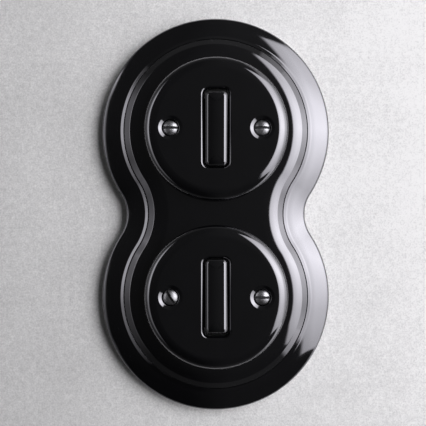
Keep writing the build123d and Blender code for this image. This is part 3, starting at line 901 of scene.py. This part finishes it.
def build_cover(gang):
    """One round cover with its rocker slot and two screw recesses."""
    form = bpy.context.scene.switch_cover_form
    node = f"{gang}_cover"
    radius = node_size(node, 0) / 2
    base = node_base(node)
    top = node_height(node)
    middle = (0, gang_centre(gang))
    ceiling = top - form.roof
    seat = top - form.recess_depth
    outer = shoulder_section(radius, top, form.shoulder_width, form.shoulder_depth)
    outer += rounded_section([
        (radius, top - form.shoulder_depth - form.lip),
        (radius, base, form.foot_round),
        (radius - 2 * form.foot_round, base),
    ])
    slot = rounded_section([
        (form.slot_lip, ceiling),
        (0, ceiling, form.foot_round),
        (0, top, form.slot_lip),
        (form.slot_lip + form.lip, top),
    ])
    well = rounded_section([
        (form.slot_lip, base),
        (0, base, form.foot_round),
        (0, ceiling, form.foot_round),
        (-form.well_corner / 2, ceiling),
    ])
    recess = rounded_section([
        (form.shank_radius + 2 * form.lip, base),
        (form.shank_radius, base, form.lip),
        (form.shank_radius, seat, form.lip),
        (form.recess_radius, seat, form.foot_round),
        (form.recess_radius, top - form.dish_width * math.tan(form.dish_slope), form.lip),
        (form.recess_radius + form.dish_width, top, form.dish_round),
        (form.recess_radius + form.dish_width + form.lip, top),
    ])
    skin = Skin()
    top_ring, base_ring = skin.sweep(circle(middle), outer)
    slot_path = rounded_rectangle(middle, form.slot_width, form.slot_length, form.slot_corner)
    slot_rings = skin.sweep(slot_path, slot)
    well_path = rounded_rectangle(middle, form.well_width, form.well_length, form.well_corner)
    well_rings = skin.sweep(well_path, well)
    screws = [(side * form.screw_reach, middle[1]) for side in (-1, 1)]
    recess_rings = [skin.sweep(circle(place), recess) for place in screws]
    skin.fill([top_ring, slot_rings[1]] + [rings[1] for rings in recess_rings])
    skin.fill([base_ring, well_rings[0]] + [rings[0] for rings in recess_rings], BARE)
    skin.fill([well_rings[1], slot_rings[0]])
    made = skin.finish(f"{gang}_cover_glazed", glaze_and_bisque())
    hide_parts(node)
    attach(made, "housing")


class SWITCH_OT_covers(Operator):
    """Build the two round covers in glazed porcelain"""

    bl_idname = "porcelain_switch.covers"
    bl_label = "Covers"

    def execute(self, context):
        for gang in GANGS:
            build_cover(gang)
        return {"FINISHED"}


def rocker_rows(form):
    """The rings over a key's rounded edge as inset, drop below the crown and turn of the normal."""
    rows = []
    for turn in quarter_turns(QUARTER_COUNT):
        rows.append((form.edge * (1 - math.cos(turn)), form.edge * (1 - math.sin(turn)), turn))
    return rows


def build_rocker(gang):
    """One crowned key at its rest tilt."""
    form = bpy.context.scene.switch_rocker_form
    tilt = ROCKER_LEANS[gang] * form.tilt
    up = Vector((0, -math.sin(tilt), math.cos(tilt)))
    out = Vector((0, -math.cos(tilt), -math.sin(tilt)))
    across = Vector((1, 0, 0))
    pivot = Vector((0, -form.pivot, gang_centre(gang)))
    path = rounded_rectangle((0, 0), form.width, form.length, form.corner)
    spine = form.length / 2 - form.width / 2
    skin = Skin()

    def crown(x):
        """Height of the crown over the pivot, and its slope, at a distance from the key's middle."""
        drop = math.sqrt(form.crown**2 - x**2)
        return form.top - form.crown + drop, x / drop

    def ring(inset, drop, turn, pull):
        """One closed ring, pulled towards the key's spine."""
        points = []
        for pole, spoke, radius, _ in path:
            flat = pole + spoke * radius - Vector((spoke.x, spoke.y * form.end_stretch)) * inset
            flat = flat.lerp(Vector((0, max(-spine, min(spine, flat.y)))), pull)
            height, slope = crown(flat.x)
            face = (out + across * slope) * math.sin(turn)
            edge = (across * spoke.x + up * spoke.y / form.end_stretch) * math.cos(turn)
            place = pivot + across * flat.x + up * flat.y + out * (height - drop)
            points.append(skin.point(place, face + edge))
        return points

    under_ring = []
    seat_ring = []
    for pole, spoke, radius, _ in path:
        flat = pole + spoke * radius
        place = pivot + across * flat.x + up * flat.y + out * form.seat
        under_ring.append(skin.point(place, -out))
        seat_ring.append(skin.point(place, across * spoke.x + up * spoke.y))
    rings = [seat_ring]
    rings += [ring(inset, drop, turn, 0) for inset, drop, turn in rocker_rows(form)]
    rings += [ring(form.edge, 0, math.pi / 2, step / CORNER_COUNT) for step in range(1, CORNER_COUNT)]
    for first, second in zip(rings, rings[1:]):
        skin.bridge(first, second)
    skin.face(under_ring)
    skin.face(rings[-1])
    made = skin.finish(f"{gang}_rocker_glazed", (black_glaze(),))
    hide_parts(f"{gang}_rocker")
    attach(made, f"{gang}_rocker")


class SWITCH_OT_rockers(Operator):
    """Build the two crowned rocker keys in glazed porcelain"""

    bl_idname = "porcelain_switch.rockers"
    bl_label = "Rockers"

    def execute(self, context):
        for gang in GANGS:
            build_rocker(gang)
        return {"FINISHED"}


def cut_slot(head, top, form):
    """Cut the driver's slot across a turned head, with flat walls and a flat floor."""
    half = form.slot_width / 2
    floor = top - form.slot_depth
    across = Vector((0, 1, 0))
    along = Vector((0, 0, 1))
    for place, normal in ((across * half, across), (-across * half, across), (along * floor, along)):
        whole = [*head.verts, *head.edges, *head.faces]
        bmesh.ops.bisect_plane(head, geom=whole, dist=TOUCH, plane_co=place, plane_no=normal)
    middles = [(face, face.calc_center_median()) for face in head.faces]
    waste = [face for face, middle in middles if abs(middle.y) < half and middle.z > floor]
    bmesh.ops.delete(head, geom=waste, context="FACES")
    raised = [point for point in head.verts if point.co.z > floor - TOUCH]
    # The slot's walls and floor take the second material, whose metal is darkened as painted shade
    for side in (-half, half):
        wall = [point for point in raised if abs(point.co.y - side) < TOUCH]
        wall.sort(key=lambda point: math.atan2(point.co.z - floor + TOUCH, point.co.x))
        head.faces.new(wall).material_index = SLOT
    bottom = [point for point in raised if point.co.z < floor + TOUCH and abs(point.co.y) < half + TOUCH]
    bottom.sort(key=lambda point: math.atan2(point.co.y, point.co.x))
    head.faces.new(bottom).material_index = SLOT


def slotted_screw(name, head_section, slot_angle, place, out, materials):
    """A turned screw with a driver's slot, seated at a place and facing along a direction."""
    form = bpy.context.scene.switch_screw_form
    turned = bmesh.new()
    rings = []
    for radius, height in head_section:
        ring = []
        for step in range(SCREW_COUNT):
            turn = math.tau * step / SCREW_COUNT
            ring.append(turned.verts.new((radius * math.cos(turn), radius * math.sin(turn), height)))
        rings.append(ring)
    for first, second in zip(rings, rings[1:]):
        for corners in strip(first, second):
            turned.faces.new(corners)
    turned.faces.new(rings[-1])
    turned.faces.new(list(reversed(rings[0])))
    cut_slot(turned, max(height for _, height in head_section), form)
    bmesh.ops.rotate(turned, matrix=Matrix.Rotation(slot_angle, 3, "Z"), verts=turned.verts)
    bmesh.ops.recalc_face_normals(turned, faces=turned.faces)
    mesh = bpy.data.meshes.new(name)
    turned.to_mesh(mesh)
    turned.free()
    for face in mesh.polygons:
        face.use_smooth = True
    mesh.set_sharp_from_angle(angle=CREASE)
    side = Vector((1, 0, 0))
    turn = Matrix((side, out.cross(side), out)).transposed().to_4x4()
    mesh.transform(Matrix.Translation(place) @ turn)
    return place_mesh(mesh, materials)


def join_pieces(pieces, name):
    """Join several mesh objects into one."""
    joined = bmesh.new()
    for piece in pieces:
        joined.from_mesh(piece.data)
    mesh = bpy.data.meshes.new(name)
    joined.to_mesh(mesh)
    joined.free()
    materials = list(pieces[0].data.materials)
    for piece in pieces:
        bpy.data.objects.remove(piece)
    return place_mesh(mesh, materials)


class SWITCH_OT_cover_screws(Operator):
    """Build the four domed nickel screws in the covers"""

    bl_idname = "porcelain_switch.cover_screws"
    bl_label = "Cover screws"

    def execute(self, context):
        form = context.scene.switch_screw_form
        cover = context.scene.switch_cover_form
        finish = context.scene.switch_finish
        dome = form.head_height - form.side_height
        head = [
            (form.shank_radius, -node_height("upper_cover")),
            (form.shank_radius, 0),
            (form.head_radius, 0),
        ]
        for turn in quarter_turns(CORNER_COUNT)[:-1]:
            head.append((form.head_radius * math.cos(turn), form.side_height + dome * math.sin(turn)))
        nickel = screw_metals("nickel_plate", "nickel_slot", finish.nickel)
        pieces = []
        for gang in GANGS:
            seat = node_height(f"{gang}_cover") - cover.recess_depth
            for side, degrees in zip((-1, 1), SLOT_ANGLES[gang]):
                place = Vector((side * cover.screw_reach, -seat, gang_centre(gang)))
                name = f"{gang}_screw_{side}"
                pieces.append(slotted_screw(name, head, math.radians(degrees), place, OUT, nickel))
        made = join_pieces(pieces, "cover_screws_domed")
        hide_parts("cover_screws")
        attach(made, "housing")
        return {"FINISHED"}


class SWITCH_OT_terminal_screws(Operator):
    """Build the slotted brass screws on the terminals at the back"""

    bl_idname = "porcelain_switch.terminal_screws"
    bl_label = "Terminal screws"

    def execute(self, context):
        form = context.scene.switch_screw_form
        finish = context.scene.switch_finish
        brass = screw_metals("brass_screw", "brass_slot", finish.brass)
        head = [
            (form.terminal_shank, -form.terminal_length),
            (form.terminal_shank, 0),
            (form.terminal_radius, 0),
            (form.terminal_radius, form.terminal_height - form.edge),
            (form.terminal_radius - form.edge, form.terminal_height),
        ]
        for gang in GANGS:
            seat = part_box(f"{gang}_throw_terminals")[1].y
            middle = gang_centre(gang)
            places = ((0, form.throw_reach), (0, -form.throw_reach), (form.common_reach, 0))
            pieces = []
            for (across, along), degrees in zip(places, TERMINAL_ANGLES):
                place = Vector((across, seat, middle + along))
                name = f"{gang}_terminal_{len(pieces)}"
                pieces.append(slotted_screw(name, head, math.radians(degrees), place, -OUT, brass))
            made = join_pieces(pieces, f"{gang}_terminal_screws")
            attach(made, "housing")
        return {"FINISHED"}


class SWITCH_OT_works(Operator):
    """Give the plates, bases, carriers, springs and contacts their materials"""

    bl_idname = "porcelain_switch.works"
    bl_label = "Switch works"

    def execute(self, context):
        finish = context.scene.switch_finish
        brass = shared_material(metal_material, "brass_strip", finish.brass)
        silver = shared_material(metal_material, "contact_silver", finish.silver)
        materials = {
            "support_plate": shared_material(metal_material, "zinc_plate", finish.zinc),
            "rocker_pin": shared_material(metal_material, "pin_steel", finish.steel),
            "rocker_carrier": shared_material(mineral_material, "moulded_resin", finish.resin),
            "drive_spring": shared_material(metal_material, "spring_bronze", finish.bronze),
            "switch_base": shared_material(mineral_material, "steatite_body", finish.steatite),
            "contact_seesaw": shared_material(metal_material, "brass_seesaw", finish.brass),
            "common_terminal": brass,
            "throw_terminals": brass,
            "fixed_contacts": silver,
            "moving_contacts": silver,
        }
        for gang in GANGS:
            for piece, material in materials.items():
                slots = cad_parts[f"{gang}_{piece}"].data.materials
                slots.clear()
                slots.append(material)
        return {"FINISHED"}


def area_lamp(name, place, size, radiance):
    """A plain square lamp of a given radiance, turned to the switch."""
    lamp = bpy.data.lights.new(name, "AREA")
    lamp.shape = "RECTANGLE"
    lamp.size = size
    lamp.size_y = size
    lamp.energy = radiance * math.pi * size**2
    holder = bpy.data.objects.new(name, lamp)
    holder.location = place
    holder.rotation_euler = (-Vector(place)).to_track_quat("-Z", "Y").to_euler()
    holder.visible_camera = False
    bpy.context.scene.collection.objects.link(holder)


class SWITCH_OT_stage(Operator):
    """Set up the wall, the lamps, the dim room and the camera"""

    bl_idname = "porcelain_switch.stage"
    bl_label = "Wall, lamps and camera"

    def execute(self, context):
        form = context.scene.switch_stage_form
        self.build_wall(context, form)
        key = panel_material("key_panel", form.key_radiance, KEY_BEARINGS, KEY_HEIGHTS, KEY_SKEWS, False)
        self.build_panel("key_panel", *KEY_PLACE, key)
        side = panel_material("side_panel", form.side_radiance, SIDE_BEARINGS, SIDE_HEIGHTS, SIDE_SKEWS, True)
        self.build_panel("side_panel", *SIDE_PLACE, side)
        area_lamp("rear_fill", REAR_PLACE, REAR_SIZE, form.rear_radiance)
        self.light_room(context, form)
        self.place_camera(context, form)
        return {"FINISHED"}

    def build_wall(self, context, form):
        """A pale plaster wall that only shows from the room's side, open behind the switch."""
        frame_form = context.scene.switch_frame_form
        lobe_radius = node_size("surround_frame", 0) / 2
        around = figure_eight(lobe_radius, frame_form.waist_radius, gang_centre("upper"))
        half = form.wall_size / 2
        wall = Skin()
        inside = Vector((form.wall_opening, -form.wall_gap))
        _, opening = wall.sweep(around, ((inside, Vector((0, 1))),))
        corners = ((-half, -half), (half, -half), (half, half), (-half, half))
        outer = [wall.point(Vector((across, form.wall_gap, up)), OUT) for across, up in corners]
        wall.fill([outer, opening])
        wall.finish("wall", (wall_material(),))

    def build_panel(self, name, across, reach, heights, material):
        """A flat glowing panel beside the switch, which the camera doesn't see."""
        far, near = reach
        low, high = heights
        corners = ((far, low), (far, high), (near, high), (near, low))
        panel = bmesh.new()
        panel.faces.new([panel.verts.new((across, *corner)) for corner in corners])
        mesh = bpy.data.meshes.new(name)
        panel.to_mesh(mesh)
        panel.free()
        made = place_mesh(mesh, (material,))
        made.visible_camera = False

    def light_room(self, context, form):
        """A dim room, lighter to the right and above, with a pale backdrop and soft light behind the wall."""
        world = bpy.data.worlds.new("dim_room")
        world.use_nodes = True
        tree = world.node_tree
        tree.nodes.clear()
        heading = add(tree, "ShaderNodeTexCoord").outputs["Generated"]
        parts = add(tree, "ShaderNodeSeparateXYZ", {0: heading}).outputs
        level = ramp(tree, parts["X"], *ROOM_ACROSS, form.room_left, form.room_right)
        gains = (
            ramp(tree, parts["Z"], *ROOM_UP, 0.0, form.room_rise),
            ramp(tree, parts["Y"], *ROOM_EDGE, 0.0, form.room_edge),
            ramp(tree, parts["Y"], *ROOM_REAR, 0.0, form.rear_level),
        )
        for gain in gains:
            level = arithmetic(tree, "ADD", level, gain)
        seen = add(tree, "ShaderNodeLightPath").outputs["Is Camera Ray"]
        shown = blend_colour(tree, seen, level, shade((1, 1, 1), form.backdrop_level))
        background = add(tree, "ShaderNodeBackground", {"Color": shown}).outputs[0]
        add(tree, "ShaderNodeOutputWorld", {"Surface": background})
        context.scene.world = world

    def place_camera(self, context, form):
        """A camera that looks straight at the wall, with the picture shifted to take in the whole switch."""
        lens = bpy.data.cameras.new("camera")
        lens.sensor_width = SENSOR_WIDTH
        lens.lens = lens.sensor_width * form.camera_distance / form.picture_width
        lens.shift_x = form.shift_x
        lens.shift_y = form.shift_y
        lens.clip_start = CLIP_START
        holder = bpy.data.objects.new("camera", lens)
        holder.location = (form.camera_x, -form.camera_distance, form.camera_z)
        holder.rotation_euler = (math.pi / 2, 0, 0)
        context.scene.collection.objects.link(holder)
        context.scene.camera = holder
        context.scene.view_settings.view_transform = "Standard"


class SWITCH_PT_panel(Panel):
    """Sidebar panel with the values and steps of the switch"""

    bl_idname = "SWITCH_PT_panel"
    bl_label = "Porcelain switch"
    bl_space_type = "VIEW_3D"
    bl_region_type = "UI"
    bl_category = "Switch"

    def draw(self, context):
        layout = self.layout
        for name in FORMS:
            box = layout.box()
            box.label(text=name.replace("_", " "))
            form = getattr(context.scene, name)
            for key in form.bl_rna.properties.keys():
                if key not in ("name", "rna_type"):
                    box.prop(form, key)
        for step in STEPS:
            layout.operator(step.bl_idname)


FORMS = {
    "switch_frame_form": SwitchFrameForm,
    "switch_cover_form": SwitchCoverForm,
    "switch_rocker_form": SwitchRockerForm,
    "switch_screw_form": SwitchScrewForm,
    "switch_finish": SwitchFinish,
    "switch_stage_form": SwitchStageForm,
}
STEPS = (
    SWITCH_OT_surround,
    SWITCH_OT_covers,
    SWITCH_OT_rockers,
    SWITCH_OT_cover_screws,
    SWITCH_OT_terminal_screws,
    SWITCH_OT_works,
    SWITCH_OT_stage,
)


def register():
    """Register the properties, the operators and the panel."""
    for name, form in FORMS.items():
        bpy.utils.register_class(form)
        setattr(bpy.types.Scene, name, PointerProperty(type=form))
    for step in STEPS:
        bpy.utils.register_class(step)
    bpy.utils.register_class(SWITCH_PT_panel)


def unregister():
    """Take the panel, the operators and the properties away again."""
    bpy.utils.unregister_class(SWITCH_PT_panel)
    for step in reversed(STEPS):
        bpy.utils.unregister_class(step)
    for name, form in FORMS.items():
        delattr(bpy.types.Scene, name)
        bpy.utils.unregister_class(form)


def main():
    """Build every piece and the stage."""
    register()
    bpy.ops.porcelain_switch.surround()
    bpy.ops.porcelain_switch.covers()
    bpy.ops.porcelain_switch.rockers()
    bpy.ops.porcelain_switch.cover_screws()
    bpy.ops.porcelain_switch.terminal_screws()
    bpy.ops.porcelain_switch.works()
    bpy.ops.porcelain_switch.stage()


if __name__ == "__main__":
    main()
